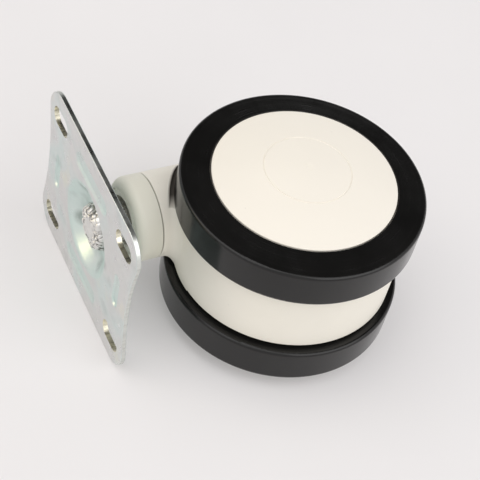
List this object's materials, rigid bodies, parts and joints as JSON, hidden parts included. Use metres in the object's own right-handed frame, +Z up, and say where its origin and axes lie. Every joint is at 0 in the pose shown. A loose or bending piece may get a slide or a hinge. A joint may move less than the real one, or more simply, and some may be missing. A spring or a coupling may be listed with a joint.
{
  "type": "swivel caster",
  "caption": "Swivel caster with two black-tyred wheels, a cream moulded drum and neck between them, and a zinc-plated slotted top plate.",
  "frame": {"origin": "middle of the top plate's upper face, on the swivel axis", "axes": "+Z up along the swivel axis, X along the plate's long side with the wheels trailing towards -X, Y along the axle"},
  "size_m": [0.1228, 0.0802, 0.1295],
  "materials": {
    "zinc_plate": "zinc plated",
    "pin_steel": "turned",
    "spring_steel": "phosphated",
    "bearing_steel": "ground",
    "shield_steel": "pressed",
    "housing_cream": "moulded satin",
    "collar_cream": "moulded satin",
    "cap_cream": "moulded satin",
    "core_plastic": "moulded",
    "bush_acetal": "moulded",
    "tyre_black": "smooth polyurethane"
  },
  "bodies": {
    "plate": {"top_plate": "zinc_plate", "kingpin": "pin_steel", "swivel_bearing_inner_ring": "bearing_steel", "kingpin_circlip": "spring_steel"},
    "fork": {"fork_housing": "housing_cream", "neck_collar": "collar_cream", "swivel_bearing_outer_ring": "bearing_steel", "swivel_bearing_balls": "bearing_steel", "swivel_bearing_shields": "shield_steel", "kingpin_bush": "bush_acetal", "axle": "pin_steel", "right_axle_spacer": "pin_steel", "right_bearing_inner_ring": "bearing_steel", "right_axle_washer": "pin_steel", "right_axle_circlip": "spring_steel", "left_axle_spacer": "pin_steel", "left_bearing_inner_ring": "bearing_steel", "left_axle_washer": "pin_steel", "left_axle_circlip": "spring_steel"},
    "right_wheel": {"right_tyre": "tyre_black", "right_wheel_core": "core_plastic", "right_hub_cap": "cap_cream", "right_bearing_outer_ring": "bearing_steel", "right_bearing_balls": "bearing_steel", "right_bearing_shields": "shield_steel"},
    "left_wheel": {"left_tyre": "tyre_black", "left_wheel_core": "core_plastic", "left_hub_cap": "cap_cream", "left_bearing_outer_ring": "bearing_steel", "left_bearing_balls": "bearing_steel", "left_bearing_shields": "shield_steel"}
  },
  "joints": [
    {"name": "swivel", "type": "hinge", "parent": "plate", "child": "fork", "pos_m": [0, 0, 0], "axis": [0, 0, 1], "continuous": true},
    {"name": "right_wheel_spin", "type": "hinge", "parent": "fork", "child": "right_wheel", "pos_m": [-0.0263, -0.0242, -0.0795], "axis": [0, 1, 0], "continuous": true},
    {"name": "left_wheel_spin", "type": "hinge", "parent": "fork", "child": "left_wheel", "pos_m": [-0.0263, 0.0242, -0.0795], "axis": [0, 1, 0], "continuous": true}
  ]
}
